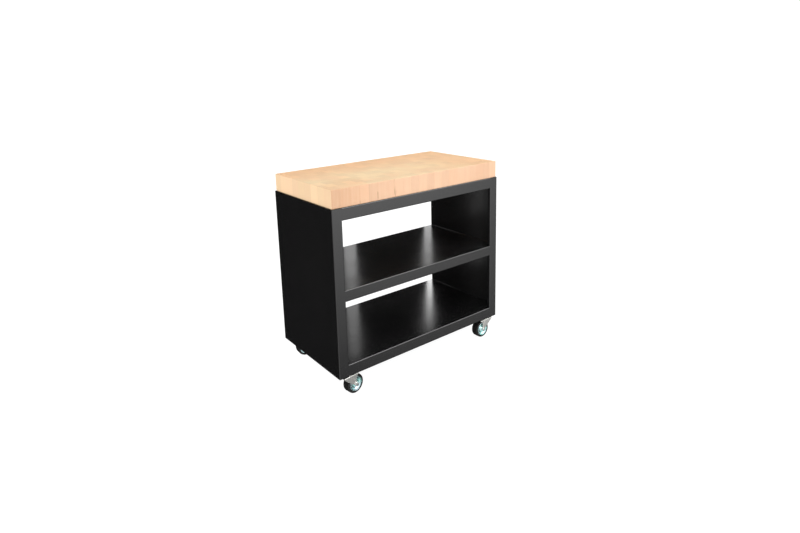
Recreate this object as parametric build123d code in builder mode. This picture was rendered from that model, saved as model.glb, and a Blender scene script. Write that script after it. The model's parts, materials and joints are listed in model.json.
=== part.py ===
"""Castered butcher block table: an end-grain block on a folded sheet-steel cabinet with two open shelves.

Frame: X to the right as seen from the front, Y to the back, Z up. The origin is on the floor, under the
middle of the cabinet. All sizes are in millimetres.
"""
from build123d import *
import math
import os

os.makedirs("parts", exist_ok=True)

# ---------------------------------------------------------------- driving dimensions
# cabinet
cabinet_width = 910.0
cabinet_depth = 475.0
cabinet_height = 700.0  # steel only, between the casters and the block
sheet = 2.0  # thickness of all the folded sheet
bend_radius = 2.0  # of the sheet's middle line

# side panels, each folded with a stile at its front
stile_width = 45.0
stile_return = 15.0

# rails and shelves
top_rail_height = 50.0
rail_return = 15.0
mid_shelf_height = 366.5  # top of its deck, above the cabinet's bottom edge
mid_apron = 47.0
mid_back_lip = 25.0
base_apron = 50.0  # the bottom shelf's deck is flush with its top

# stiffening rib under each shelf
rib_sheet = 1.5
rib_web = 40.0
rib_brim = 12.0
rib_height = 20.0

# wooden block
block_thickness = 76.0
block_inset = 4.0  # from the cabinet's outer faces
block_edge_radius = 2.5
block_rows = 9  # strips across the depth
block_columns = 21  # upright pieces along each strip

# ledges under the block's ends, bearers under the rest of it, and the screws through them
ledge_width = 20.0
bearer_columns = 6  # upright pieces from the middle of the block to each bearer
bearer_width = 40.0
bearer_depth = 18.0
screw_radius = 3.0
screw_grip = 40.0  # length inside the wood
pilot_extra = 2.5  # pilot hole beyond the screw's end
screw_head_radius = 5.5
screw_head_height = 4.0
screw_washer_radius = 8.0
screw_washer_thickness = 1.5
slot_length = 14.0
slot_clearance = 0.3

# caster brackets in the bottom corners
bracket_thickness = 4.0
bracket_length = 110.0  # along X
bracket_width = 72.0  # along Y
bracket_upstand = 40.0

# casters
caster_inset_x = 58.0
caster_inset_y = 29.0
caster_trail = 24.0
swivel_front_left = 8.0  # where each wheel trails at rest, from +X towards +Y
swivel_front_right = 181.0
swivel_back_left = -4.0
swivel_back_right = 184.0

# caster swivel: kingpin, upper race, balls
kingpin_radius = 5.0
kingpin_head_radius = 8.0
kingpin_head_height = 3.5
kingpin_nut_height = 8.0
kingpin_washer_thickness = 2.0
kingpin_thread_end = 2.5
nut_flats_ratio = 1.7  # across the flats, to the thread's diameter
washer_ratio = 2.0  # washer's outside diameter, to the thread's diameter
race_radius = 22.0
race_thickness = 2.0
race_skirt = 3.2
race_gap = 5.0  # between the upper race and the fork's crown
ball_count = 14
ball_circle_radius = 16.5
ball_clearance = 0.2

# caster fork
fork_sheet = 2.5
leg_top_ahead = 38.0  # from the kingpin away from the wheel
leg_top_behind = 40.0
leg_boss_wall = 4.5  # round the axle
leg_boss_spread = 25.0  # degrees above and below level where the leg's edges meet the boss
leg_waist = 1.0  # how far the leg's rear edge is hollowed past the axle
leg_bead_height = 1.2
leg_bead_width = 5.0

# wheel
wheel_diameter = 82.0
tyre_width = 35.0
wheel_gap = 1.5  # from the tyre's side to the fork leg
wheel_top_gap = 3.5  # from the tread to the fork's crown
tyre_wall = 10.0  # from the discs' edge to the tread
tyre_grip = 4.0  # held between the two discs
tyre_recess_depth = 2.8
tyre_shoulder = 3.0
tread_groove_width = 2.0
tread_groove_depth = 1.2
tread_groove_place = 6.5
disc_sheet = 1.5
disc_flange = 6.0  # flat ring outside the well
disc_well_depth = 4.5
disc_hub_land = 2.5  # flat ring round the bush
disc_hub_slope = 3.5
disc_lip = 1.0
disc_bend_radius = 0.9
bush_wall = 2.0
axle_radius = 4.0
axle_head_height = 4.5
axle_nut_height = 5.0
axle_thread_end = 1.5

# fits
running_clearance = 0.05  # radial, shaft in bush
swivel_clearance = 0.3  # between turning faces
close_fit = 0.02  # radial, pressed or threaded pieces
bolt_clearance = 0.25  # radial, bolt in hole
side_gap = 0.5  # bush end to fork leg
disc_gap = 0.2  # disc edge to tyre

# ---------------------------------------------------------------- places worked out from them
caster_height = wheel_diameter + wheel_top_gap + fork_sheet + race_gap + race_thickness
left = -cabinet_width / 2
right = cabinet_width / 2
front = -cabinet_depth / 2
back = cabinet_depth / 2
base_z = caster_height
top_z = base_z + cabinet_height
mid_z = base_z + mid_shelf_height
bottom_z = base_z + base_apron
half_sheet = sheet / 2
rail_span = cabinet_width - 2 * stile_width  # between the stiles
deck_span = cabinet_width - 2 * sheet  # between the side sheets


def save(piece, label):
    """Names a finished piece and writes it to its own file."""
    piece.label = label
    export_step(piece, f"parts/{label}.step")


def folded_sheet(plane, middle_line, length, thickness=sheet, radius=bend_radius):
    """A sheet bent along middle_line, given in the plane, and as long as length to each side of it."""
    with BuildPart() as folded:
        with BuildSketch(plane):
            with BuildLine():
                bent = FilletPolyline(*middle_line, radius=radius)
            trace(bent, line_width=thickness)
        extrude(amount=length / 2, both=True)
    return folded.part


# ---------------------------------------------------------------- side panels
# The plan of a panel: stile return, stile, side. Its back edge is plain.
def side_panel(outer_x, inward):
    stile_inner = outer_x + inward * (stile_width - half_sheet)
    side_middle = outer_x + inward * half_sheet
    plan = [
        (stile_inner, front + stile_return),
        (stile_inner, front + half_sheet),
        (side_middle, front + half_sheet),
        (side_middle, back),
    ]
    return folded_sheet(Plane.XY.offset((base_z + top_z) / 2), plan, cabinet_height)


save(side_panel(left, 1), "left_side_panel")
save(side_panel(right, -1), "right_side_panel")


# ---------------------------------------------------------------- top rails
# Channels, open towards the inside of the cabinet, drawn in the YZ plane.
def top_rail(face_y, inward, length):
    web_middle = face_y + inward * half_sheet
    flange_end = face_y + inward * rail_return
    section = [
        (flange_end, top_z - half_sheet),
        (web_middle, top_z - half_sheet),
        (web_middle, top_z - top_rail_height + half_sheet),
        (flange_end, top_z - top_rail_height + half_sheet),
    ]
    return folded_sheet(Plane.YZ, section, length)


save(top_rail(front, 1, rail_span), "front_top_rail")
save(top_rail(back, -1, deck_span), "back_top_rail")


# ---------------------------------------------------------------- shelves
# Each shelf is one sheet: apron with a return at the front, deck, and a lip or apron at the back. Its front
# corners are notched where the stiles stand.
def shelf(deck_z, section):
    with BuildPart() as tray:
        add(folded_sheet(Plane.YZ, section, deck_span))
        with BuildSketch(Plane.XY.offset(deck_z)):
            for side in (-1, 1):
                with Locations((side * (rail_span / 2 + stile_width / 2), front + stile_return / 2)):
                    Rectangle(stile_width, stile_return)
        extrude(amount=-(mid_apron + base_apron), mode=Mode.SUBTRACT)
    return tray.part


mid_section = [
    (front + rail_return, mid_z - mid_apron + half_sheet),
    (front + half_sheet, mid_z - mid_apron + half_sheet),
    (front + half_sheet, mid_z - half_sheet),
    (back - half_sheet, mid_z - half_sheet),
    (back - half_sheet, mid_z - mid_back_lip),
]
bottom_section = [
    (front + rail_return, base_z + half_sheet),
    (front + half_sheet, base_z + half_sheet),
    (front + half_sheet, bottom_z - half_sheet),
    (back - half_sheet, bottom_z - half_sheet),
    (back - half_sheet, base_z + half_sheet),
    (back - rail_return, base_z + half_sheet),
]
save(shelf(mid_z, mid_section), "mid_shelf")
save(shelf(bottom_z, bottom_section), "bottom_shelf")


# A hat-shaped rib runs across under the middle of each deck.
def shelf_rib(deck_z):
    brim_z = deck_z - sheet - rib_sheet / 2
    web_z = deck_z - sheet - rib_height + rib_sheet / 2
    half_web = (rib_web - rib_sheet) / 2
    half_brim = rib_web / 2 + rib_brim
    section = [
        (-half_brim, brim_z),
        (-half_web, brim_z),
        (-half_web, web_z),
        (half_web, web_z),
        (half_web, brim_z),
        (half_brim, brim_z),
    ]
    return folded_sheet(Plane.YZ, section, deck_span, rib_sheet)


save(shelf_rib(mid_z), "mid_shelf_rib")
save(shelf_rib(bottom_z), "bottom_shelf_rib")

# ---------------------------------------------------------------- block, bearers and screws
block_length = cabinet_width - 2 * block_inset
block_depth = cabinet_depth - 2 * block_inset
row_depth = block_depth / block_rows
piece_width = block_length / block_columns
block_left = -block_length / 2
block_front = -block_depth / 2
screw_rows = range(0, block_rows, 2)  # every second strip, counted from 0 at the front
bearer_x = bearer_columns * piece_width


def row_middle(row):
    return block_front + (row + 0.5) * row_depth


screw_places = [(side * bearer_x, row_middle(row)) for side in (-1, 1) for row in screw_rows]

# The whole block with its edges eased; each upright piece is cut out of it.
with BuildPart() as whole_block:
    with BuildSketch(Plane.XY.offset(top_z)):
        Rectangle(block_length, block_depth)
    extrude(amount=block_thickness)
    fillet(whole_block.edges(), radius=block_edge_radius)
    with BuildSketch(Plane.XY.offset(top_z)):
        with Locations(*screw_places):
            Circle(screw_radius + close_fit)
    extrude(amount=screw_grip + pilot_extra, mode=Mode.SUBTRACT)


# Strips 1, 3, 5 ... start and end with a half piece, so that the joints are staggered.
def column_edges(row):
    shift = 0.5 if row % 2 == 1 else 0.0
    inner = [block_left + (column + shift) * piece_width for column in range(block_columns + 1)]
    edges = [block_left] + inner + [-block_left]
    return sorted({round(edge, 6) for edge in edges if abs(edge) <= block_length / 2 + 1e-6})


for row in range(block_rows):
    pieces = []
    edges = column_edges(row)
    for start, end in zip(edges, edges[1:]):
        with BuildPart() as upright_piece:
            with BuildSketch(Plane.XY.offset(top_z)):
                with Locations(((start + end) / 2, row_middle(row))):
                    Rectangle(end - start, row_depth)
            extrude(amount=block_thickness)
            add(whole_block.part, mode=Mode.INTERSECT)
        pieces.append(upright_piece.part.solid())
    save(Compound(children=pieces), f"block_row_{row + 1}")

# A ledge of folded angle is welded to each side sheet, flush with its top, from the stile to the back rail.
ledge_front = front + bend_radius + half_sheet
ledge_back = back - rail_return
for outer_x, inward, name in ((left, 1, "left_block_ledge"), (right, -1, "right_block_ledge")):
    sheet_face = outer_x + inward * sheet
    upstand_x = sheet_face + inward * half_sheet
    section = [
        (upstand_x, top_z - ledge_width),
        (upstand_x, top_z - half_sheet),
        (sheet_face + inward * ledge_width, top_z - half_sheet),
    ]
    ledge_plane = Plane.XZ.offset(-(ledge_front + ledge_back) / 2)
    save(folded_sheet(ledge_plane, section, ledge_back - ledge_front), name)

# The bearers are channels, open downwards, from one top rail to the other, flush with the rails' tops.
bearer_front = front + rail_return
bearer_back = back - rail_return
bearer_length = bearer_back - bearer_front
for side, name in ((-1, "left_bearer"), (1, "right_bearer")):
    half_web = (bearer_width - sheet) / 2
    section = [
        (side * bearer_x - half_web, top_z - bearer_depth),
        (side * bearer_x - half_web, top_z - half_sheet),
        (side * bearer_x + half_web, top_z - half_sheet),
        (side * bearer_x + half_web, top_z - bearer_depth),
    ]
    with BuildPart() as bearer:
        add(folded_sheet(Plane.XZ.offset(-(bearer_front + bearer_back) / 2), section, bearer_length))
        with BuildSketch(Plane.XY.offset(top_z)):
            with Locations(*[place for place in screw_places if place[0] * side > 0]):
                SlotOverall(slot_length, 2 * (screw_radius + slot_clearance), rotation=90)
        extrude(amount=-bearer_depth, mode=Mode.SUBTRACT)
    save(bearer.part, name)

washer_top = top_z - sheet
with BuildPart() as screw_washers:
    with BuildSketch(Plane.XY.offset(washer_top)):
        with Locations(*screw_places):
            Circle(screw_washer_radius)
            Circle(screw_radius + slot_clearance, mode=Mode.SUBTRACT)
    extrude(amount=-screw_washer_thickness)
save(screw_washers.part, "block_screw_washers")

head_top = washer_top - screw_washer_thickness
with BuildPart() as block_screws:
    with BuildSketch(Plane.XY.offset(head_top)):
        with Locations(*screw_places):
            Circle(screw_head_radius)
    extrude(amount=-screw_head_height)
    chamfer(block_screws.faces().group_by(Axis.Z)[0].edges(), length=screw_head_height / 4)
    with BuildSketch(Plane.XY.offset(head_top)):
        with Locations(*screw_places):
            Circle(screw_radius)
    extrude(amount=top_z + screw_grip - head_top)
save(block_screws.part, "block_screws")

# ---------------------------------------------------------------- caster brackets
# An angle in each bottom corner, its upstand welded to the side sheet and its foot to the shelf's return.
corners = {
    "front_left": (left, 1, front + rail_return, 1, swivel_front_left),
    "front_right": (right, -1, front + rail_return, 1, swivel_front_right),
    "back_left": (left, 1, back - rail_return, -1, swivel_back_left),
    "back_right": (right, -1, back - rail_return, -1, swivel_back_right),
}


def pivot_place(corner):
    """X and Y of a caster's kingpin."""
    outer_x, inward_x, _, inward_y, _ = corners[corner]
    outer_y = front if inward_y > 0 else back
    return outer_x + inward_x * caster_inset_x, outer_y + inward_y * caster_inset_y


for corner, (outer_x, inward_x, edge_y, inward_y, _) in corners.items():
    sheet_face = outer_x + inward_x * sheet
    upstand_x = sheet_face + inward_x * bracket_thickness / 2
    foot_z = base_z + bracket_thickness / 2
    section = [
        (upstand_x, base_z + bracket_upstand),
        (upstand_x, foot_z),
        (sheet_face + inward_x * bracket_length, foot_z),
    ]
    middle_y = edge_y + inward_y * bracket_width / 2
    middle_plane = Plane.XZ.offset(-middle_y)
    with BuildPart() as bracket:
        add(folded_sheet(middle_plane, section, bracket_width, bracket_thickness, radius=bracket_thickness))
        with BuildSketch(Plane.XY.offset(base_z)):
            with Locations(pivot_place(corner)):
                Circle(kingpin_radius + bolt_clearance)
        extrude(amount=bracket_thickness, mode=Mode.SUBTRACT)
    save(bracket.part, f"{corner}_caster_bracket")

# ---------------------------------------------------------------- kingpins, with their washers and nuts
all_pivots = [pivot_place(corner) for corner in corners]
kingpin_nut_flats = nut_flats_ratio * 2 * kingpin_radius
bracket_top = base_z + bracket_thickness
nut_bottom = bracket_top + kingpin_washer_thickness
nut_top = nut_bottom + kingpin_nut_height
crown_top = base_z - race_thickness - race_gap
crown_bottom = crown_top - fork_sheet
kingpin_head_top = crown_bottom - swivel_clearance

with BuildPart() as kingpin_washers:
    with BuildSketch(Plane.XY.offset(bracket_top)):
        with Locations(*all_pivots):
            Circle(washer_ratio * kingpin_radius)
            Circle(kingpin_radius + bolt_clearance, mode=Mode.SUBTRACT)
    extrude(amount=kingpin_washer_thickness)
save(kingpin_washers.part, "kingpin_washers")

with BuildPart() as kingpin_nuts:
    with BuildSketch(Plane.XY.offset(nut_bottom)):
        with Locations(*all_pivots):
            RegularPolygon(kingpin_nut_flats / 2, 6, major_radius=False)
            Circle(kingpin_radius + close_fit, mode=Mode.SUBTRACT)
    extrude(amount=kingpin_nut_height)
save(kingpin_nuts.part, "kingpin_nuts")

with BuildPart() as kingpins:
    with BuildSketch(Plane.XY.offset(kingpin_head_top)):
        with Locations(*all_pivots):
            Circle(kingpin_head_radius)
    extrude(amount=-kingpin_head_height)
    chamfer(kingpins.faces().group_by(Axis.Z)[0].edges(), length=kingpin_head_height / 3)
    with BuildSketch(Plane.XY.offset(kingpin_head_top)):
        with Locations(*all_pivots):
            Circle(kingpin_radius)
    extrude(amount=nut_top + kingpin_thread_end - kingpin_head_top)
save(kingpins.part, "kingpins")

# ---------------------------------------------------------------- casters
wheel_radius = wheel_diameter / 2
disc_radius = wheel_radius - tyre_wall
bush_radius = axle_radius + bush_wall
axle_flats = nut_flats_ratio * 2 * axle_radius
axle_z = wheel_radius
leg_inner = tyre_width / 2 + wheel_gap
leg_outer = leg_inner + fork_sheet
leg_boss_radius = axle_radius + leg_boss_wall
ball_radius = race_gap / 2 - ball_clearance
crown_middle = (leg_top_behind - leg_top_ahead) / 2
crown_length = leg_top_behind + leg_top_ahead


class Seat:
    """The planes of one caster: u runs from the kingpin towards the wheel, v along the axle, z up."""

    def __init__(self, corner):
        x, y = pivot_place(corner)
        angle = math.radians(corners[corner][4])
        self.u = Vector(math.cos(angle), math.sin(angle), 0)
        self.v = Vector(-math.sin(angle), math.cos(angle), 0)
        self.pivot = Vector(x, y, 0)

    def level(self, z):
        """A flat plane at height z, its origin on the kingpin's axis."""
        return Plane(self.pivot + Vector(0, 0, z), x_dir=self.u, z_dir=(0, 0, 1))

    def upright(self, v):
        """An upright plane across the axle, v away from the wheel's middle; its X is u, its Y is height."""
        return Plane(self.pivot + self.v * v, x_dir=self.u, z_dir=-self.v)

    def axle(self):
        """A flat plane at the axle's height, its origin in the wheel's middle."""
        centre = self.pivot + self.u * caster_trail + Vector(0, 0, axle_z)
        return Plane(centre, x_dir=self.u, z_dir=(0, 0, 1))

    def axle_axis(self):
        return Axis(self.axle().origin, self.v)


def upper_race(seat):
    """Pressed cup, clamped under the bracket by the kingpin."""
    with BuildPart() as race:
        with BuildSketch(seat.level(base_z)):
            Circle(race_radius)
            Circle(kingpin_radius + bolt_clearance, mode=Mode.SUBTRACT)
        extrude(amount=-race_thickness)
        with BuildSketch(seat.level(base_z)):
            Circle(race_radius)
            Circle(race_radius - race_thickness, mode=Mode.SUBTRACT)
        extrude(amount=-(race_thickness + race_skirt))
        fillet(race.edges().group_by(Axis.Z)[-1].sort_by(SortBy.RADIUS)[-1], radius=race_thickness * 0.6)
    return race.part


def race_balls(seat):
    """Ring of steel balls between the upper race and the fork's crown."""
    with BuildPart() as balls:
        with Locations(seat.level(crown_top + race_gap / 2)):
            with PolarLocations(ball_circle_radius, ball_count):
                Sphere(ball_radius)
    return balls.part


def fork(seat):
    """Pressed steel yoke: a crown under the race and a leg on each side of the wheel.

    A leg is wide under the crown, hollowed at the back, and ends in a boss round the axle.
    """
    ahead_top = (-leg_top_ahead, crown_top)
    ahead_low = (-leg_top_ahead, crown_bottom - fork_sheet)
    boss_reach = leg_boss_radius * math.cos(math.radians(leg_boss_spread))
    boss_rise = leg_boss_radius * math.sin(math.radians(leg_boss_spread))
    boss_ahead = (caster_trail - boss_reach, axle_z - boss_rise)
    boss_below = (caster_trail, axle_z - leg_boss_radius)
    boss_behind = (caster_trail + boss_reach, axle_z + boss_rise)
    behind_low = (leg_top_behind, crown_bottom - fork_sheet / 2)
    waist = (caster_trail + leg_waist, (behind_low[1] + axle_z + leg_boss_radius) / 2)
    with BuildPart() as yoke:
        with BuildSketch(seat.upright(0)):
            with BuildLine():
                Polyline(behind_low, (leg_top_behind, crown_top), ahead_top, ahead_low, boss_ahead)
                ThreePointArc(boss_ahead, boss_below, boss_behind)
                ThreePointArc(boss_behind, waist, behind_low)
            make_face()
        extrude(amount=leg_outer, both=True)
        outer_edges = yoke.edges().group_by(Axis.Z)[-1].filter_by(Axis(seat.pivot, seat.u))
        fillet(outer_edges, radius=fork_sheet)
        with BuildSketch(seat.level(crown_bottom)):
            with Locations((crown_middle, 0)):
                Rectangle(2 * crown_length, 2 * leg_inner)
        extrude(amount=-caster_height, mode=Mode.SUBTRACT)
        with BuildSketch(seat.level(crown_top)):
            Circle(kingpin_radius + running_clearance)
        extrude(amount=-fork_sheet, mode=Mode.SUBTRACT)
        with BuildSketch(seat.upright(0)):
            with Locations((caster_trail, axle_z)):
                Circle(axle_radius + running_clearance)
        extrude(amount=leg_outer, both=True, mode=Mode.SUBTRACT)
        # the bead pressed out of each leg, from the crown down to the boss
        for side in (-1, 1):
            with BuildSketch(seat.upright(side * leg_outer)):
                with BuildLine():
                    bead = Line(
                        (caster_trail / 3, crown_bottom - fork_sheet),
                        (caster_trail - leg_boss_radius / 4, axle_z + leg_boss_radius * 1.4),
                    )
                trace(bead, line_width=leg_bead_width)
            extrude(amount=-side * leg_bead_height, taper=20)
    return yoke.part


def axle_bolt(seat):
    """Hexagon bolt through both legs and the bush, its head on the side of negative v."""
    with BuildPart() as bolt:
        with BuildSketch(seat.upright(-leg_outer)):
            with Locations((caster_trail, axle_z)):
                RegularPolygon(axle_flats / 2, 6, major_radius=False)
        extrude(amount=axle_head_height)
        with BuildSketch(seat.upright(-leg_outer)):
            with Locations((caster_trail, axle_z)):
                Circle(axle_radius)
        extrude(amount=-(2 * leg_outer + axle_nut_height + axle_thread_end))
    return bolt.part


def axle_nut(seat):
    with BuildPart() as nut:
        with BuildSketch(seat.upright(leg_outer)):
            with Locations((caster_trail, axle_z)):
                RegularPolygon(axle_flats / 2, 6, major_radius=False)
                Circle(axle_radius + close_fit, mode=Mode.SUBTRACT)
        extrude(amount=-axle_nut_height)
    return nut.part


def reach(seat, point):
    """How far a point of a wheel's section is from the axle."""
    return seat.axle().to_local_coords(point).X


def tyre(seat):
    """Moulded rubber ring, its inner edges recessed on both sides for the discs, two grooves in its tread."""
    side = tyre_width / 2
    seat_width = side - tyre_recess_depth
    bore_radius = disc_radius - tyre_grip
    recess_radius = disc_radius + disc_gap
    with BuildPart() as ring:
        with BuildSketch(seat.axle()):
            with BuildLine():
                Polyline(
                    (bore_radius, -seat_width),
                    (recess_radius, -seat_width),
                    (recess_radius, -side),
                    (wheel_radius - tyre_shoulder, -side),
                    (wheel_radius, -side + tyre_shoulder),
                    (wheel_radius, side - tyre_shoulder),
                    (wheel_radius - tyre_shoulder, side),
                    (recess_radius, side),
                    (recess_radius, seat_width),
                    (bore_radius, seat_width),
                    close=True,
                )
            section = make_face()
            tread = section.vertices().filter_by(lambda point: reach(seat, point) > recess_radius + disc_gap)
            fillet(tread, radius=tyre_shoulder / 2)
            with Locations((wheel_radius, -tread_groove_place), (wheel_radius, tread_groove_place)):
                Rectangle(2 * tread_groove_depth, tread_groove_width, mode=Mode.SUBTRACT)
        revolve(axis=seat.axle_axis())
    return ring.part


def wheel_discs(seat):
    """The two pressed discs: a turned lip, a well and a domed hub. They grip the tyre between them."""
    rim_v = tyre_width / 2 - tyre_recess_depth + disc_sheet / 2
    well_v = rim_v - disc_well_depth
    hub_v = rim_v + disc_lip
    land_radius = bush_radius + disc_hub_land
    well_start = land_radius + disc_hub_slope
    well_end = disc_radius - disc_flange
    with BuildPart() as discs:
        for side in (-1, 1):
            with BuildSketch(seat.axle()):
                with BuildLine():
                    pressed = FilletPolyline(
                        (bush_radius + close_fit, side * hub_v),
                        (land_radius, side * hub_v),
                        (well_start, side * well_v),
                        (well_end - disc_well_depth / 2, side * well_v),
                        (well_end, side * rim_v),
                        (disc_radius - disc_sheet / 2, side * rim_v),
                        (disc_radius - disc_sheet / 2, side * (rim_v + disc_sheet)),
                        radius=disc_bend_radius,
                    )
                trace(pressed, line_width=disc_sheet)
            revolve(axis=seat.axle_axis())
    return discs.part


def hub_bush(seat):
    half_length = leg_inner - side_gap
    with BuildPart() as bush:
        with BuildSketch(seat.upright(0)):
            with Locations((caster_trail, axle_z)):
                Circle(bush_radius)
                Circle(axle_radius + running_clearance, mode=Mode.SUBTRACT)
        extrude(amount=half_length, both=True)
    return bush.part


for corner in corners:
    seat = Seat(corner)
    save(upper_race(seat), f"{corner}_upper_race")
    save(race_balls(seat), f"{corner}_race_balls")
    save(fork(seat), f"{corner}_fork")
    save(axle_bolt(seat), f"{corner}_axle_bolt")
    save(axle_nut(seat), f"{corner}_axle_nut")
    save(tyre(seat), f"{corner}_tyre")
    save(wheel_discs(seat), f"{corner}_wheel_discs")
    save(hub_bush(seat), f"{corner}_hub_bush")
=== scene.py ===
import json
import math
import random

import bmesh
import bpy
from mathutils import Matrix, Vector


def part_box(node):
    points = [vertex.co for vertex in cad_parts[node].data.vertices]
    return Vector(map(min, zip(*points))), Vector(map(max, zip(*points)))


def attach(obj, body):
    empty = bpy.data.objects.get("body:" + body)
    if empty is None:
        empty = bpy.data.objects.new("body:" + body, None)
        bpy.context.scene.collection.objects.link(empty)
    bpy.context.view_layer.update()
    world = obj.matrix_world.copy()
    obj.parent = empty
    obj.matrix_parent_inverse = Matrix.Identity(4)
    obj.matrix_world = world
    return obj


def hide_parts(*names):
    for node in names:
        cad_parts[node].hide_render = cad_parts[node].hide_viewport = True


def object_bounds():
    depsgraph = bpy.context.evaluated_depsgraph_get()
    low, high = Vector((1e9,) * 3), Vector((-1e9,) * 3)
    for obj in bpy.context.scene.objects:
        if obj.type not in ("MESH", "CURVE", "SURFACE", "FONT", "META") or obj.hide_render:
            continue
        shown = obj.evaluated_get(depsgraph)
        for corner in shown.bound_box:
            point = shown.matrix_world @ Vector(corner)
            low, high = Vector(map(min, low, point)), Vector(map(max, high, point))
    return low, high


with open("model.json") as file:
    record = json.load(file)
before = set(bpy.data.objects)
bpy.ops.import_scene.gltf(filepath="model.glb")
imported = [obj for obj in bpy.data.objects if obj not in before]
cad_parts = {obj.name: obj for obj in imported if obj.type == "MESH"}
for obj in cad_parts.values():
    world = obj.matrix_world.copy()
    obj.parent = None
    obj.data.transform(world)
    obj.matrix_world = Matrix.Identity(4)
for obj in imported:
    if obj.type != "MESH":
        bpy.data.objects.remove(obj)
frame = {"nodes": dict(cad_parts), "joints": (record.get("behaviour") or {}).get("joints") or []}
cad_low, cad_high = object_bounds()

# ================================================================ the end-grain block
# Upright pieces of maple glued side by side into strips, and the strips glued into one thick block, so its
# top is all end grain. The outer edges are eased with a router, and the block is sanded and oiled.
PIECES_IN_A_STRIP = 21
EASED_EDGE = 0.0025
EASING_STEPS = 6
GLUE_LINE = 0.00025
SHARPEST_EDGE = 0.0002
SMALL_FACE = 2e-5
STREAKED_PIECES = (6, 7)  # in the front strip
STRIP_NODES = sorted(
    (name for name in frame["nodes"] if name.startswith("block_row_")), key=lambda name: int(name.rsplit("_", 1)[1])
)
block_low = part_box(STRIP_NODES[0])[0]
block_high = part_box(STRIP_NODES[-1])[1]
piece_width = (block_high.x - block_low.x) / PIECES_IN_A_STRIP


class Finish:
    """A material and the node tree that colours it."""

    def __init__(self, name, **shader_values):
        self.material = bpy.data.materials.new(name)
        self.material.use_nodes = True
        self.tree = self.material.node_tree
        self.shader = self.tree.nodes["Principled BSDF"]
        self.fill(self.shader, shader_values)

    def fill(self, node, values):
        for socket, value in values.items():
            socket = node.inputs[socket if isinstance(socket, int) else socket.replace("_", " ")]
            if isinstance(value, bpy.types.NodeSocket):
                self.tree.links.new(value, socket)
            else:
                socket.default_value = value

    def add(self, kind, settings=None, **values):
        node = self.tree.nodes.new("ShaderNode" + kind)
        for name, value in (settings or {}).items():
            setattr(node, name, value)
        self.fill(node, values)
        return node

    def place(self):
        """Where a point is on the finished piece, in metres."""
        return self.add("TexCoord").outputs["Object"]

    def stretched(self, vector, scale):
        mapping = self.add("Mapping", Vector=vector)
        mapping.inputs["Scale"].default_value = scale
        return mapping.outputs["Vector"]

    def noise(self, vector, scale, detail=3.0, roughness=0.5, distortion=0.0):
        return self.add(
            "TexNoise", Vector=vector, Scale=scale, Detail=detail, Roughness=roughness, Distortion=distortion
        ).outputs["Fac"]

    def remembered(self, name, output="Fac"):
        """A value kept in the mesh by that name."""
        return self.add("Attribute", {"attribute_name": name}).outputs[output]

    def maths(self, operation, first, second=0.0, third=0.0):
        node = self.add("Math", {"operation": operation})
        self.fill(node, {0: first, 1: second, 2: third})
        return node.outputs[0]

    def span(self, value, from_low, from_high, to_low, to_high):
        node = self.add("MapRange", {"interpolation_type": "SMOOTHSTEP"}, Value=value)
        self.fill(node, {1: from_low, 2: from_high, 3: to_low, 4: to_high})
        return node.outputs["Result"]

    def mixed(self, share, first, second, how="MIX"):
        """Two colours mixed by a share of the second."""
        node = self.add("Mix", {"data_type": "RGBA", "blend_type": how})
        self.fill(node, {0: share, 6: first, 7: second})
        return node.outputs[2]

    def bumped(self, height, distance, strength=1.0):
        return self.add("Bump", Height=height, Distance=distance, Strength=strength).outputs["Normal"]


def grey(value):
    return (value, value, value, 1.0)


def made_piece(name, bm, finish, body, smooth=True):
    """Turns finished mesh work into an object that rides on a body."""
    bmesh.ops.recalc_face_normals(bm, faces=bm.faces)
    mesh = bpy.data.meshes.new(name)
    bm.to_mesh(mesh)
    bm.free()
    for face in mesh.polygons:
        face.use_smooth = smooth
    mesh.materials.append(finish.material)
    piece = bpy.data.objects.new(name, mesh)
    bpy.context.scene.collection.objects.link(piece)
    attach(piece, body)
    return piece


def glue_joints(row):
    """Where one upright piece meets the next; the joints of neighbouring strips are staggered by half a piece."""
    shift = 0.5 if row % 2 == 1 else 0.0
    places = [block_low.x + (number + shift) * piece_width for number in range(PIECES_IN_A_STRIP + 1)]
    return [x for x in places if block_low.x + EASED_EDGE < x < block_high.x - EASED_EDGE]


def strip_outline(low, high, sunk, front_radius, back_radius):
    """A strip's section as (y, z) points, its front and back corners rounded."""
    corners = (
        (low.y, low.z + sunk, 1, 1, front_radius, 180),
        (high.y, low.z + sunk, -1, 1, back_radius, 270),
        (high.y, high.z - sunk, -1, -1, back_radius, 0),
        (low.y, high.z - sunk, 1, -1, front_radius, 90),
    )
    outline = []
    for y, z, inward_y, inward_z, radius, start in corners:
        for step in range(EASING_STEPS + 1):
            angle = math.radians(start + 90 * step / EASING_STEPS)
            outline.append((y + radius * (inward_y + math.cos(angle)), z + radius * (inward_z + math.sin(angle))))
    return outline


def strip_stations(joints):
    """(x, how far the section is sunk there, number of the piece before it) along a strip."""
    quarter = [math.radians(90 * step / EASING_STEPS) for step in range(EASING_STEPS + 1)]
    easing = [(EASED_EDGE * (1 - math.sin(angle)), EASED_EDGE * (1 - math.cos(angle))) for angle in quarter]
    stations = [(block_low.x + along, sunk, 0) for along, sunk in easing[::-1]]
    for number, x in enumerate(joints):
        stations += [(x - GLUE_LINE, 0, number), (x, GLUE_LINE, number), (x + GLUE_LINE, 0, number + 1)]
    last = len(joints)
    stations += [(block_high.x - along, sunk, last) for along, sunk in easing]
    return stations


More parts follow.
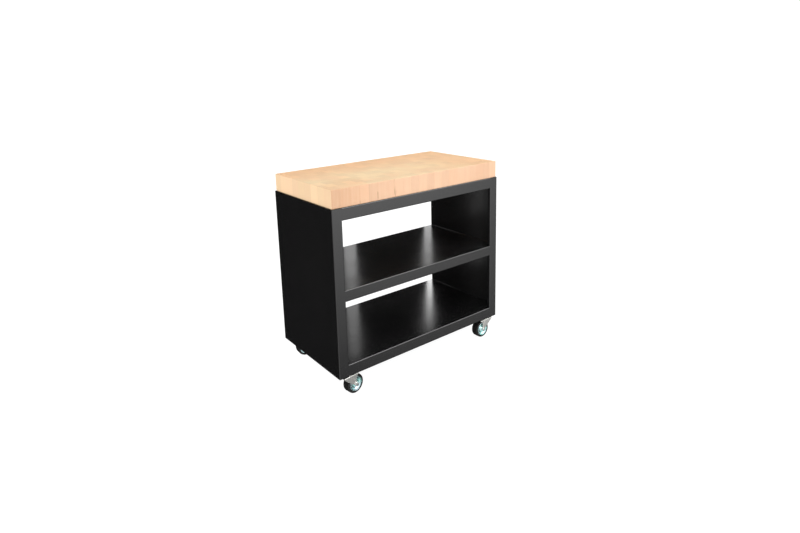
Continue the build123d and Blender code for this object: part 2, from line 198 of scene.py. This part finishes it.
def strip_mesh(node, row, chance):
    low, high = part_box(node)
    first, last = row == 0, row == len(STRIP_NODES) - 1
    stations = strip_stations(glue_joints(row))
    pieces = stations[-1][2] + 1
    bm = bmesh.new()
    number_layer = bm.faces.layers.int.new("piece_number")
    rings = []
    for x, sunk, _ in stations:
        section_low = Vector((x, low.y + (sunk if first else 0), low.z))
        section_high = Vector((x, high.y - (sunk if last else 0), high.z))
        front_radius = max(EASED_EDGE - sunk, SHARPEST_EDGE) if first else GLUE_LINE
        back_radius = max(EASED_EDGE - sunk, SHARPEST_EDGE) if last else GLUE_LINE
        outline = strip_outline(section_low, section_high, sunk, front_radius, back_radius)
        rings.append([bm.verts.new((x, y, z)) for y, z in outline])
    for here, there, station in zip(rings, rings[1:], stations[1:]):
        for corner in range(len(here)):
            after = (corner + 1) % len(here)
            face = bm.faces.new((here[corner], here[after], there[after], there[corner]))
            face[number_layer] = station[2]
    bm.faces.new(rings[0][::-1])[number_layer] = 0
    bm.faces.new(rings[-1])[number_layer] = pieces - 1
    tone = bm.faces.layers.float.new("piece_tone")
    warmth = bm.faces.layers.float.new("piece_warmth")
    streak = bm.faces.layers.float.new("piece_streak")
    heart = bm.faces.layers.float_vector.new("ring_heart")
    tones = [chance.gauss(0.5, 0.19) for _ in range(pieces)]
    warmths = [chance.gauss(0.5, 0.2) for _ in range(pieces)]
    streaks = [chance.random() ** 3 if row and number else 0.1 for number in range(pieces)]
    if row == 0:
        for number in STREAKED_PIECES:
            streaks[number] = 0.75
    hearts = []
    for number in range(pieces):
        angle, far = chance.uniform(0, 2 * math.pi), chance.uniform(0.05, 0.16)
        middle_x = block_low.x + (number + 0.5) * piece_width
        hearts.append((middle_x + far * math.cos(angle), (low.y + high.y) / 2 + far * math.sin(angle), 0.0))
    for face in bm.faces:
        number = face[number_layer]
        face[tone], face[warmth], face[streak] = tones[number], warmths[number], streaks[number]
        face[heart] = Vector(hearts[number])
    return bm


# joint from the left, bottom and top above the block's underside, how dark
PITCH_LINES = ((5, 0.0, 0.042, 0.7), (3, -0.01, 0.02, 0.45))
PITCH_FADE = 0.012


def oiled_maple():
    wood = Finish("oiled_maple", Specular_IOR_Level=0.4, Coat_Weight=0.12, Coat_Roughness=0.35)
    place = wood.place()
    normal = wood.add("NewGeometry").outputs["Normal"]
    facing = wood.add("SeparateXYZ", Vector=normal)
    end_grain = wood.span(wood.maths("ABSOLUTE", facing.outputs["Z"]), 0.45, 0.9, 0.0, 1.0)
    # growth rings about each piece's own heart; seen along the piece on its sides
    wander = wood.noise(wood.stretched(place, (1, 1, 0.12)), 22.0, 3.0)
    offset = wood.add("VectorMath", {"operation": "SUBTRACT"})
    wood.fill(offset, {0: place, 1: wood.remembered("ring_heart", "Vector")})
    flat = wood.add("VectorMath", {"operation": "MULTIPLY"})
    wood.fill(flat, {0: offset.outputs["Vector"], 1: (1.0, 1.0, 0.02)})
    far = wood.add("VectorMath", {"operation": "LENGTH"})
    wood.fill(far, {0: flat.outputs["Vector"]})
    years = wood.maths("MULTIPLY_ADD", far.outputs["Value"], 360.0, wood.maths("MULTIPLY", wander, 3.2))
    season = wood.maths("FRACT", years)
    late_wood = wood.maths("POWER", season, 3.0)
    late_wood = wood.maths("MULTIPLY", late_wood, wood.span(season, 0.9, 1.0, 1.0, 0.0))
    # fibres run up the sides and show as pores on the top
    fibre = wood.noise(wood.stretched(place, (1, 1, 0.018)), 1100.0, 2.0, 0.6)
    figure = wood.noise(wood.stretched(place, (1, 1, 0.05)), 130.0, 4.0, 0.6)
    cloud = wood.noise(place, 7.0, 2.0, 0.45)
    patch = wood.noise(place, 3.1, 1.0, 0.4)
    cream = wood.mixed(wood.span(cloud, 0.3, 0.7, 0.0, 1.0), (0.90, 0.62, 0.375, 1), (0.91, 0.70, 0.43, 1))
    where = wood.add("SeparateXYZ", Vector=place)
    rearward = wood.span(where.outputs["Y"], -0.06, 0.2, 0.0, 0.92)
    rightward = wood.span(where.outputs["X"], 0.05, 0.36, 0.0, 0.75)
    brown = wood.maths("MAXIMUM", wood.span(patch, 0.5, 0.72, 0.0, 0.5), wood.maths("MAXIMUM", rearward, rightward))
    cream = wood.mixed(brown, cream, (0.83, 0.50, 0.27, 1))
    # painted light and shade: side grain facing front and back is coloured darker and pinker, and side grain facing
    # left and right lighter and yellower, the same wood coloured as if lit two ways
    painted_shaded_side_grain = wood.mixed(wood.span(cloud, 0.3, 0.7, 0.0, 1.0), (0.87, 0.535, 0.34, 1), (0.885, 0.57, 0.375, 1))
    leftward = wood.span(where.outputs["X"], -0.44, -0.12, 1.0, 0.0)
    painted_shaded_side_grain = wood.mixed(leftward, painted_shaded_side_grain, (0.72, 0.43, 0.26, 1))
    painted_lit_side_grain = wood.mixed(wood.remembered("piece_warmth"), (0.97, 0.70, 0.42, 1), (0.96, 0.655, 0.41, 1))
    to_the_front = wood.span(facing.outputs["Y"], -0.8, -0.3, 1.0, 0.0)
    to_the_back = wood.span(facing.outputs["Y"], 0.3, 0.8, 0.0, 1.0)
    # picks the painted shaded or the painted lit side-grain colour by which way the face points
    side = wood.mixed(wood.maths("ADD", to_the_front, to_the_back), painted_lit_side_grain, painted_shaded_side_grain)
    colour = wood.mixed(end_grain, side, cream)
    tone = wood.span(wood.remembered("piece_tone"), 0.0, 1.0, 0.93, 1.07)
    colour = wood.mixed(1.0, colour, wood.add("CombineColor", Red=tone, Green=tone, Blue=tone).outputs[0], "MULTIPLY")
    ring_depth = wood.span(end_grain, 0.0, 1.0, 0.08, 0.20)
    colour = wood.mixed(wood.maths("MULTIPLY", late_wood, ring_depth), colour, (0.60, 0.345, 0.18, 1))
    colour = wood.mixed(wood.span(fibre, 0.45, 0.8, 0.0, 0.13), colour, (0.62, 0.37, 0.2, 1))
    colour = wood.mixed(wood.span(figure, 0.35, 0.75, 0.0, 0.16), colour, (0.93, 0.70, 0.5, 1))
    # brown mineral streaks in a few of the pieces
    vein = wood.noise(wood.stretched(place, (1, 1, 0.10)), 95.0, 2.0, 0.5, 0.3)
    vein = wood.span(vein, 0.60, 0.70, 0.0, 1.0)
    vein = wood.maths("MULTIPLY", vein, wood.span(wood.remembered("piece_streak"), 0.35, 0.9, 0.0, 0.75))
    vein = wood.maths("MULTIPLY", vein, wood.span(end_grain, 0.0, 1.0, 1.0, 0.12))
    colour = wood.mixed(vein, colour, (0.40, 0.215, 0.10, 1))
    # two short dark pitch lines low in the front strip
    for joint, low_z, high_z, shade in PITCH_LINES:
        beside = wood.maths("ABSOLUTE", wood.maths("SUBTRACT", where.outputs["X"], block_low.x + joint * piece_width))
        line = wood.span(beside, 0.0008, 0.0026, shade, 0.0)
        rise = wood.maths("SUBTRACT", where.outputs["Z"], block_low.z)
        line = wood.maths("MULTIPLY", line, wood.span(rise, high_z - PITCH_FADE, high_z, 1.0, 0.0))
        line = wood.maths("MULTIPLY", line, wood.span(rise, low_z, low_z + PITCH_FADE, 0.0, 1.0))
        line = wood.maths("MULTIPLY", line, to_the_front)
        colour = wood.mixed(line, colour, (0.36, 0.18, 0.075, 1))
    wood.fill(wood.shader, {"Base Color": colour})
    rough = wood.span(fibre, 0.2, 0.8, 0.40, 0.52)
    wood.fill(wood.shader, {"Roughness": wood.maths("ADD", rough, wood.maths("MULTIPLY", end_grain, 0.05))})
    height = wood.maths("ADD", wood.maths("MULTIPLY", fibre, 0.6), wood.maths("MULTIPLY", late_wood, 0.5))
    wood.fill(wood.shader, {"Normal": wood.bumped(height, 0.00012, 0.8)})
    return wood


maple = oiled_maple()
sawing = random.Random(41)
for row, node in enumerate(STRIP_NODES):
    strip = made_piece(f"end_grain_strip_{row + 1}", strip_mesh(node, row, sawing), maple, "cabinet", False)
    for face in strip.data.polygons:
        face.use_smooth = face.area < SMALL_FACE
    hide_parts(node)

# ================================================================ the folded steel cabinet
# Side panels, rails and shelves are 2 mm sheet steel, cut and folded on a press brake and welded together.
# All of it is powder coated in one satin black, so the bends are covered and only the sheen shows them.
SHEET_NODES = ("left_side_panel", "right_side_panel", "front_top_rail", "back_top_rail", "mid_shelf", "bottom_shelf",
               "mid_shelf_rib", "bottom_shelf_rib", "left_bearer", "right_bearer", "left_block_ledge",
               "right_block_ledge")


def satin_powder_coat():
    coat = Finish("satin_black_powder_coat", IOR=1.5, Specular_IOR_Level=0.5)
    place = coat.place()
    drift = coat.noise(place, 2.4, 2.0)
    handled = coat.noise(place, 9.0, 4.0, 0.6)
    orange_peel = coat.noise(place, 620.0, 1.0, 0.4)
    ripple = coat.noise(place, 150.0, 1.0, 0.4)
    speck = coat.span(coat.noise(place, 1700.0, 1.0), 0.66, 0.8, 0.0, 1.0)
    black = coat.mixed(drift, (0.0052, 0.0052, 0.0056, 1), (0.0082, 0.0080, 0.0080, 1))
    black = coat.mixed(coat.maths("MULTIPLY", speck, 0.25), black, grey(0.03))
    coat.fill(coat.shader, {"Base Color": black})
    coat.fill(coat.shader, {"Roughness": coat.span(handled, 0.25, 0.75, 0.21, 0.27)})
    height = coat.maths("ADD", orange_peel, coat.maths("MULTIPLY", ripple, 0.8))
    coat.fill(coat.shader, {"Normal": coat.bumped(height, 0.00002, 0.8)})
    return coat


black_coat = satin_powder_coat()


def dress(names, finish):
    """Gives CAD pieces a finish."""
    for name in names:
        node = frame["nodes"][name]
        node.data.materials.clear()
        node.data.materials.append(finish.material)


dress(SHEET_NODES, black_coat)

# ================================================================ weld beads
# Each shelf deck is welded to the side panels along both ends. The beads are ground lightly before coating,
# so they read as thin rippled fillets in the corner.
BEAD_LEG = 0.0026
BEAD_RIPPLE = 0.00022
BEAD_PITCH = 0.0031
BEAD_FRONT, BEAD_BACK = 0.017, 0.004  # how far the beads stop short of the cabinet's front and back


def weld_bead(name, start, end, up, inward, chance):
    """A rippled concave fillet along the corner from start to end."""
    along = (end - start).normalized()
    length = (end - start).length
    steps = int(length / BEAD_PITCH * 4)
    bm = bmesh.new()
    rings = []
    for step in range(steps + 1):
        at = length * step / steps
        taper = min(1.0, at / 0.004 + 0.12, (length - at) / 0.004 + 0.12)
        leg = BEAD_LEG * taper + BEAD_RIPPLE * math.sin(2 * math.pi * at / BEAD_PITCH) + chance.uniform(-4e-5, 4e-5)
        ring = []
        for part in range(5):
            angle = math.radians(90 * part / 4)
            bow = leg * (1 - 0.62 * math.sin(2 * angle) * 0.5)
            ring.append(start + along * at + inward * bow * math.cos(angle) + up * bow * math.sin(angle))
        ring.append(start + along * at - inward * 0.0002 - up * 0.0002)
        rings.append([bm.verts.new(point) for point in ring])
    for here, there in zip(rings, rings[1:]):
        for corner in range(6):
            after = (corner + 1) % 6
            bm.faces.new((here[corner], here[after], there[after], there[corner]))
    bm.faces.new(rings[0])
    bm.faces.new(rings[-1][::-1])
    return made_piece(name, bm, black_coat, "cabinet")


SHEET = 0.002
welding = random.Random(7)
cabinet_low, cabinet_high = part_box("left_side_panel")[0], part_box("right_side_panel")[1]
for shelf in ("mid_shelf", "bottom_shelf"):
    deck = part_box(shelf)[1].z
    for side, wall, inward in (("left", cabinet_low.x + SHEET, 1), ("right", cabinet_high.x - SHEET, -1)):
        start = Vector((wall, cabinet_low.y + BEAD_FRONT, deck))
        end = Vector((wall, cabinet_high.y - BEAD_BACK, deck))
        weld_bead(f"{side}_{shelf}_bead", start, end, Vector((0, 0, 1)), Vector((inward, 0, 0)), welding)

# ================================================================ ground welds on the front
# Where a rail meets a stile, the groove beside the stile's bend is filled with weld and ground flush, so the
# coated front reads as one frame.
BEND_OUTSIDE = 0.003
BEND_STEPS = 8


def ground_weld(name, edge, inward, low_z, high_z):
    """Fills the groove between a stile's rounded inner edge and the end of a rail."""
    bm = bmesh.new()
    face_y = cabinet_low.y + 0.00001
    section = [(edge - inward * BEND_OUTSIDE, face_y)]
    for step in range(BEND_STEPS + 1):
        angle = math.radians(90 * step / BEND_STEPS)
        x = edge - inward * BEND_OUTSIDE * (1 - math.sin(angle))
        section.append((x, face_y + BEND_OUTSIDE * (1 - math.cos(angle)) + 0.00002))
    section.append((edge + inward * 0.0002, face_y + BEND_OUTSIDE))
    section.append((edge + inward * 0.0002, face_y))
    ends = [[bm.verts.new((x, y, z)) for x, y in section] for z in (low_z, high_z)]
    for corner in range(len(section)):
        after = (corner + 1) % len(section)
        bm.faces.new((ends[0][corner], ends[0][after], ends[1][after], ends[1][corner]))
    bm.faces.new(ends[0])
    bm.faces.new(ends[1][::-1])
    return made_piece(name, bm, black_coat, "cabinet", False)


stile_edges = (("left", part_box("front_top_rail")[0].x, 1), ("right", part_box("front_top_rail")[1].x, -1))
for rail in ("front_top_rail", "mid_shelf", "bottom_shelf"):
    low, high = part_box(rail)
    for side, edge, inward in stile_edges:
        ground_weld(f"{side}_{rail}_ground_weld", edge, inward, low.z + BEND_OUTSIDE, high.z - BEND_OUTSIDE)

# ================================================================ stile caps
# A small plate of the same sheet is welded inside the open top of each stile, between the block's ledge and the
# stile's return, and closes the slit in front of the wood. Its edges are dressed with a file before coating.
CAP_DEPTH = 0.015
CAP_GAP = 0.0003  # below the wood
CAP_EDGE = 0.0003

for side, edge, inward in stile_edges:
    ledge_low, ledge_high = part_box(f"{side}_block_ledge")
    beside_ledge = ledge_high.x if side == "left" else ledge_low.x
    ends_x = sorted((beside_ledge - inward * 0.0006, edge + inward * 0.0004))
    ends_y = (cabinet_low.y + SHEET * 0.9, cabinet_low.y + SHEET + CAP_DEPTH)
    cap_top = cabinet_high.z - CAP_GAP
    bm = bmesh.new()
    cube = bmesh.ops.create_cube(bm, size=1.0)
    for vertex in cube["verts"]:
        vertex.co.x = ends_x[vertex.co.x > 0]
        vertex.co.y = ends_y[vertex.co.y > 0]
        vertex.co.z = cap_top - (0 if vertex.co.z > 0 else SHEET)
    bmesh.ops.bevel(bm, geom=bm.edges[:], offset=CAP_EDGE, segments=2, affect="EDGES")
    made_piece(f"{side}_stile_cap", bm, black_coat, "cabinet", False)

# ================================================================ caster brackets and fasteners
# Thick steel angles welded in the bottom corners carry the casters. They are coated with the cabinet; the
# bolts, washers and screws are bright zinc plate put in afterwards.
CORNERS = ("front_left", "front_right", "back_left", "back_right")


def bright_zinc(name, pale, dull, roughness, brushed=(1, 1, 1)):
    plate = Finish(name, Metallic=1.0)
    place = plate.place()
    bloom = plate.noise(place, 60.0, 4.0, 0.6)
    grain = plate.noise(plate.stretched(place, brushed), 900.0, 3.0, 0.6)
    colour = plate.mixed(plate.span(bloom, 0.3, 0.7, 0.0, 1.0), pale, dull)
    colour = plate.mixed(plate.span(grain, 0.55, 0.85, 0.0, 0.25), colour, grey(0.25))
    plate.fill(plate.shader, {"Base Color": colour})
    plate.fill(plate.shader, {"Roughness": plate.span(bloom, 0.2, 0.8, roughness - 0.05, roughness + 0.08)})
    plate.fill(plate.shader, {"Normal": plate.bumped(grain, 0.00003, 0.6)})
    return plate


def ease_edges(names, width):
    """A small bevel on a CAD piece's sharp edges, as rolled or rumbled metal has."""
    for name in names:
        bevel = frame["nodes"][name].modifiers.new("eased_edges", "BEVEL")
        bevel.width = width
        bevel.segments = 2
        bevel.limit_method = "ANGLE"
        bevel.angle_limit = math.radians(40)
        bevel.harden_normals = True


fastener_zinc = bright_zinc("bright_zinc_fasteners", (0.66, 0.66, 0.63, 1), (0.52, 0.53, 0.53, 1), 0.30)
dress([f"{corner}_caster_bracket" for corner in CORNERS], black_coat)
FASTENERS = ("block_screws", "block_screw_washers", "kingpins", "kingpin_washers", "kingpin_nuts")
dress(FASTENERS, fastener_zinc)
ease_edges([f"{corner}_caster_bracket" for corner in CORNERS], 0.0005)
ease_edges(("block_screw_washers", "kingpin_washers"), 0.0002)

# ================================================================ caster swivels
# Each caster turns on a ring of hard steel balls between a pressed upper race and the crown of the fork.
# Race and fork are pressed from sheet and plated with zinc, slightly warm in colour.
fork_zinc = bright_zinc("zinc_plated_pressing", (0.60, 0.59, 0.56, 1), (0.47, 0.47, 0.45, 1), 0.33, (1, 1, 0.08))
dress([f"{corner}_upper_race" for corner in CORNERS], fork_zinc)
dress([f"{corner}_fork" for corner in CORNERS], fork_zinc)
ease_edges([f"{corner}_fork" for corner in CORNERS], 0.0004)


def polished_ball_steel():
    steel = Finish("polished_ball_steel", Metallic=1.0)
    film = steel.noise(steel.place(), 240.0, 3.0)
    steel.fill(steel.shader, {"Base Color": steel.mixed(film, grey(0.66), (0.50, 0.47, 0.42, 1))})
    steel.fill(steel.shader, {"Roughness": steel.span(film, 0.3, 0.7, 0.08, 0.2)})
    return steel


dress([f"{corner}_race_balls" for corner in CORNERS], polished_ball_steel())

# ================================================================ axles
# A hexagon bolt goes through both legs and a turned bush, and a nut holds it. They are plated like the other
# fasteners; the bush is a duller steel.
dress([f"{corner}_axle_bolt" for corner in CORNERS], fastener_zinc)
dress([f"{corner}_axle_nut" for corner in CORNERS], fastener_zinc)
bush_steel = bright_zinc("turned_bush_steel", (0.50, 0.49, 0.46, 1), (0.36, 0.35, 0.33, 1), 0.36, (1, 1, 1))
dress([f"{corner}_hub_bush" for corner in CORNERS], bush_steel)

# ================================================================ tyres
# A ring of black rubber, moulded in one piece: two grooves and a fine parting line round its tread, a stepped
# sidewall, and a seat on each side where the steel discs grip it.
WHEEL_STEPS = 128
TYRE_RADIUS, TYRE_HALF_WIDTH = 0.041, 0.0175
DISC_RADIUS, DISC_SEAT_HALF_WIDTH = 0.031, 0.0147
spins = {joint["child"]: joint for joint in frame["joints"] if joint["name"].endswith("wheel_spin")}


def turned(profiles):
    """Closed sections of (radius, along the axle) points, each turned about the axle."""
    bm = bmesh.new()
    for profile in profiles:
        rings = []
        for step in range(WHEEL_STEPS):
            angle = 2 * math.pi * step / WHEEL_STEPS
            rings.append([bm.verts.new((r * math.cos(angle), v, r * math.sin(angle))) for r, v in profile])
        for step in range(WHEEL_STEPS):
            here, there = rings[step], rings[(step + 1) % WHEEL_STEPS]
            for corner in range(len(profile)):
                after = (corner + 1) % len(profile)
                bm.faces.new((here[corner], here[after], there[after], there[corner]))
    return bm


def rounded(points, radius, closed=True, steps=4):
    """The same section with its corners rounded."""
    out = []
    for number, point in enumerate(points):
        if not closed and number in (0, len(points) - 1):
            out.append(tuple(point))
            continue
        here = Vector(point)
        before, after = Vector(points[number - 1]), Vector(points[(number + 1) % len(points)])
        start = here + (before - here).normalized() * min(radius, (before - here).length * 0.45)
        end = here + (after - here).normalized() * min(radius, (after - here).length * 0.45)
        for step in range(steps + 1):
            t = step / steps
            out.append(tuple(start * (1 - t) ** 2 + here * 2 * t * (1 - t) + end * t**2))
    return out


def on_its_axle(piece, corner):
    """Puts a turned piece on its caster's axle; the piece's own Y lies along the axle."""
    spin = spins[f"{corner}_wheel"]
    axle = Vector(spin["axis"]).normalized()
    across = axle.cross(Vector((0, 0, 1))).normalized()
    turn = Matrix((across, axle, Vector((0, 0, 1)))).transposed()
    piece.matrix_world = Matrix.Translation(Vector(spin["pos_m"])) @ turn.to_4x4()
    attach(piece, f"{corner}_wheel")


def half_tread():
    """Half the tyre's outline, from the middle of the tread round to the disc's seat."""
    r, w = TYRE_RADIUS, TYRE_HALF_WIDTH
    return [
        (r, 0.0), (r - 0.0002, 0.0002), (r - 0.0002, 0.0055), (r - 0.0014, 0.0057), (r - 0.0014, 0.0073),
        (r - 0.0002, 0.0075), (r - 0.0004, 0.0128), (r - 0.0012, 0.0156), (r - 0.0030, w - 0.0001),
        (r - 0.0044, w), (r - 0.0048, w - 0.0005), (r - 0.0064, w - 0.0005), (r - 0.0068, w),
        (DISC_RADIUS + 0.0008, w), (DISC_RADIUS + 0.0002, w - 0.0006),
        (DISC_RADIUS + 0.0002, DISC_SEAT_HALF_WIDTH), (DISC_RADIUS - 0.004, DISC_SEAT_HALF_WIDTH),
    ]


def moulded_rubber():
    rubber = Finish("moulded_tyre_rubber", Specular_IOR_Level=0.22)
    place = rubber.place()
    dust = rubber.noise(place, 90.0, 4.0, 0.6)
    skin = rubber.noise(place, 1500.0, 2.0)
    rubber.fill(rubber.shader, {"Base Color": rubber.mixed(dust, grey(0.003), (0.009, 0.0086, 0.0082, 1))})
    rubber.fill(rubber.shader, {"Roughness": rubber.span(dust, 0.3, 0.7, 0.38, 0.55)})
    rubber.fill(rubber.shader, {"Normal": rubber.bumped(skin, 0.00004, 0.7)})
    return rubber


tyre_rubber = moulded_rubber()
near_half = half_tread()
tyre_outline = near_half + [(r, -v) for r, v in near_half[:0:-1]]
for corner in CORNERS:
    tyre = made_piece(f"{corner}_moulded_tyre", turned([rounded(tyre_outline, 0.0004, steps=2)]), tyre_rubber,
                      f"{corner}_wheel")
    on_its_axle(tyre, corner)
    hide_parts(f"{corner}_tyre")

# ================================================================ wheel discs
# Two discs pressed from sheet steel, each with a turned lip, a ringed well and a domed hub, clamped on the
# tyre from both sides. They are plated with zinc and passivated a pale blue-green.
DISC_SHEET = 0.0015
HUB_RADIUS = 0.00602


def disc_section(side):
    """The closed section of one disc's sheet."""
    rim = DISC_SEAT_HALF_WIDTH + DISC_SHEET / 2
    path = [
        (HUB_RADIUS, rim + 0.0010), (0.0085, rim + 0.0010), (0.0102, rim - 0.0014), (0.0122, rim - 0.0045),
        (0.0150, rim - 0.0045), (0.0158, rim - 0.0039), (0.0178, rim - 0.0039), (0.0186, rim - 0.0045),
        (0.0222, rim - 0.0045), (0.0246, rim), (DISC_RADIUS - DISC_SHEET / 2, rim),
        (DISC_RADIUS - DISC_SHEET / 2, rim + 0.0013),
    ]
    path = rounded(path, 0.0011, closed=False, steps=4)
    outer, inner = [], []
    for number, point in enumerate(path):
        before, after = Vector(path[max(number - 1, 0)]), Vector(path[min(number + 1, len(path) - 1)])
        along = (after - before).normalized()
        out = Vector((-along.y, along.x)) * DISC_SHEET / 2
        outer.append(tuple(Vector(point) + out))
        inner.append(tuple(Vector(point) - out))
    return [(max(r, HUB_RADIUS), v * side) for r, v in outer + inner[::-1]]


def blue_passivated_zinc():
    zinc = Finish("blue_passivated_zinc", Metallic=1.0)
    place = zinc.place()
    bloom = zinc.noise(place, 38.0, 3.0, 0.5)
    fine = zinc.noise(place, 1100.0, 2.0)
    flat = zinc.add("VectorMath", {"operation": "MULTIPLY"})
    zinc.fill(flat, {0: place, 1: (1.0, 0.0, 1.0)})
    radius = zinc.add("VectorMath", {"operation": "LENGTH"})
    zinc.fill(radius, {0: flat.outputs["Vector"]})
    ring = zinc.add("CombineXYZ", X=radius.outputs["Value"]).outputs["Vector"]
    drawn = zinc.noise(ring, 2600.0, 2.0)
    colour = zinc.mixed(zinc.span(bloom, 0.40, 0.62, 0.0, 1.0), (0.47, 0.58, 0.62, 1), (0.38, 0.66, 0.62, 1))
    colour = zinc.mixed(zinc.span(fine, 0.5, 0.9, 0.0, 0.2), colour, grey(0.3))
    zinc.fill(zinc.shader, {"Base Color": colour})
    zinc.fill(zinc.shader, {"Roughness": zinc.span(bloom, 0.3, 0.7, 0.20, 0.32)})
    marks = zinc.maths("ADD", fine, zinc.maths("MULTIPLY", drawn, 0.8))
    zinc.fill(zinc.shader, {"Normal": zinc.bumped(marks, 0.00002, 0.6)})
    return zinc


disc_zinc = blue_passivated_zinc()
for corner in CORNERS:
    discs = made_piece(f"{corner}_pressed_discs", turned([disc_section(-1), disc_section(1)]), disc_zinc,
                       f"{corner}_wheel")
    on_its_axle(discs, corner)
    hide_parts(f"{corner}_wheel_discs")

# ================================================================ floor, light and camera
# A white sweep, even overcast light, and a darker room behind the table with two bright gaps in it, which is
# what the satin shelves mirror.
bpy.context.scene.view_settings.view_transform = "Standard"


def plate_at(name, corners, finish):
    mesh = bpy.data.meshes.new(name)
    mesh.from_pydata(corners, [], [tuple(range(len(corners)))])
    mesh.materials.append(finish.material)
    plate = bpy.data.objects.new(name, mesh)
    bpy.context.scene.collection.objects.link(plate)
    return plate


white_floor = Finish("white_floor", Roughness=0.9, Specular_IOR_Level=0.0, Emission_Strength=0.97)
white_floor.fill(white_floor.shader, {"Base Color": grey(0.18), "Emission Color": grey(1.0)})
reach = 30
floor_corners = [(-reach, -reach, 0), (reach, -reach, 0), (reach, reach, 0), (-reach, reach, 0)]
floor = plate_at("floor", floor_corners, white_floor)
floor.visible_glossy = False

# name, left edge at the floor, how far it leans left, right edge, brightness low down and higher up
GAP_BEHIND, GAP_TOP = 0.10, 0.86
GAPS = (("left_gap", -0.055, 0.0, 0.020, 1.3, 1.4), ("right_gap", 0.509, 0.045, 0.620, 5.6, 1.75))
for name, low_x, lean, high_x, low_light, high_light in GAPS:
    gap = Finish(name + "_light", Roughness=1.0)
    gap.fill(gap.shader, {"Base Color": grey(0.0), "Emission Color": grey(1.0)})
    up = gap.add("SeparateXYZ", Vector=gap.place()).outputs["Z"]
    gap.fill(gap.shader, {"Emission Strength": gap.span(up, 0.15, 0.58, low_light, high_light)})
    y, top = cad_high.y + GAP_BEHIND, GAP_TOP
    corners = [(low_x, y, 0.0), (high_x, y, 0.0), (high_x, y, top), (low_x - lean * top, y, top)]
    strip = plate_at(name, corners, gap)
    strip.visible_camera = strip.visible_diffuse = strip.visible_shadow = False

world = bpy.data.worlds.new("studio")
bpy.context.scene.world = world
world.use_nodes = True
world.cycles.sampling_method = "NONE"


class Surroundings(Finish):
    """The same wiring, for the world round the table."""

    def __init__(self, world):
        self.tree = world.node_tree
        self.shader = self.tree.nodes["Background"]


studio = Surroundings(world)
direction = studio.add("TexCoord").outputs["Generated"]


def towards(x, y, low, high):
    """How near a direction's bearing is to (x, y), from 0 to 1 between two cosines."""
    level = studio.add("VectorMath", {"operation": "MULTIPLY"})
    studio.fill(level, {0: direction, 1: (1.0, 1.0, 0.0)})
    bearing = studio.add("VectorMath", {"operation": "NORMALIZE"})
    studio.fill(bearing, {0: level.outputs["Vector"]})
    along = studio.add("VectorMath", {"operation": "DOT_PRODUCT"})
    studio.fill(along, {0: bearing.outputs["Vector"], 1: Vector((x, y, 0.0)).normalized()[:]})
    return studio.span(along.outputs["Value"], low, high, 0.0, 1.0)


height = studio.add("SeparateXYZ", Vector=direction).outputs["Z"]
rise = studio.add("MapRange", Value=height)
studio.fill(rise, {1: -0.56, 2: 0.0, 3: 0.0, 4: 4.0})
window = studio.maths("MULTIPLY", towards(0.30, -0.954, 0.72, 0.99), rise.outputs["Result"])
overhead = studio.span(height, 0.62, 0.9, 0.0, 3.0)
left_fill = studio.maths("MULTIPLY", towards(-0.78, -0.62, 0.45, 0.95), 1.4)
lamp = studio.maths("MULTIPLY", towards(0.86, -0.5, 0.6, 0.95), studio.span(height, 0.5, 0.64, 0.0, 7.0))
mirrored = studio.maths("ADD", studio.maths("ADD", window, overhead), studio.maths("ADD", left_fill, 0.012))
mirrored = studio.maths("ADD", mirrored, lamp)
glossy = studio.add("LightPath").outputs["Is Glossy Ray"]
strength = studio.add("Mix", {"data_type": "FLOAT"})
studio.fill(strength, {0: glossy, 2: 1.04, 3: mirrored})
studio.fill(studio.shader, {"Color": grey(1.0), "Strength": strength.outputs[0]})

camera = bpy.data.cameras.new("camera")
camera.lens = 25.0
camera.sensor_width = 36.0
camera.shift_x = -0.0054
camera.shift_y = -0.1115
camera_object = bpy.data.objects.new("camera", camera)
camera_object.location = (-1.489, -1.992, 1.312)
camera_object.rotation_euler = (math.radians(78.85), math.radians(1.34), math.radians(-38.56))
bpy.context.scene.collection.objects.link(camera_object)
bpy.context.scene.camera = camera_object
